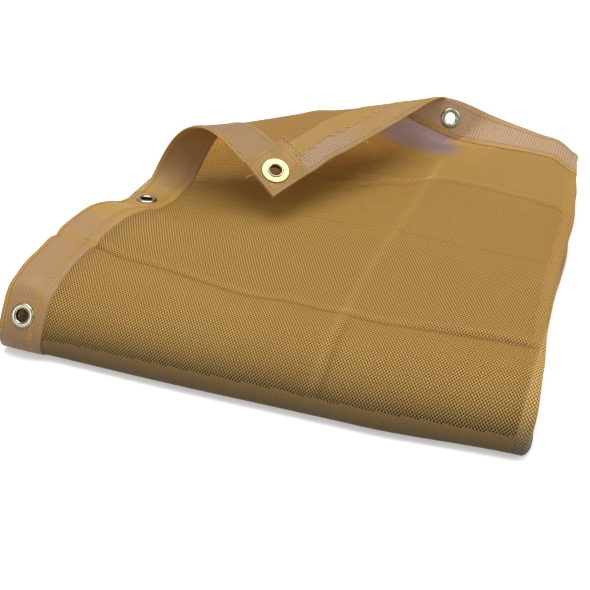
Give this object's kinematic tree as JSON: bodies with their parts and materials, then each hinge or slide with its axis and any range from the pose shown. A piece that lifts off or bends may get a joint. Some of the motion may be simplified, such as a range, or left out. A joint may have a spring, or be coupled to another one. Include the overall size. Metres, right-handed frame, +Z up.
{
  "type": "mesh tarp",
  "caption": "Coated mesh tarp with hemmed edges and metal eyelets, folded into a flat packet with one corner curled over",
  "frame": {"origin": "on the floor under the middle of the folded packet's box", "axes": "+X along the front fold to the right, +Y to the open back edge, +Z up"},
  "size_m": [0.465, 0.462, 0.1139],
  "materials": {
    "mesh": "woven coated yarn with open cells",
    "hem": "ribbed tape with sewn lines",
    "patch": "plain reinforcing cloth with needle holes",
    "eyelet": "plated brass, polished",
    "washer": "pale plated brass"
  },
  "bodies": {
    "root": {"mesh_panel": "mesh", "side_band": "hem", "end_band": "hem", "far_end_band": "hem", "far_side_band": "hem", "corner_patch": "patch", "eyelet_front": "eyelet", "washer_front": "washer", "eyelet_side": "eyelet", "washer_side": "washer", "eyelet_corner": "eyelet", "washer_corner": "washer", "eyelet_back": "eyelet", "washer_back": "washer"}
  },
  "joints": []
}
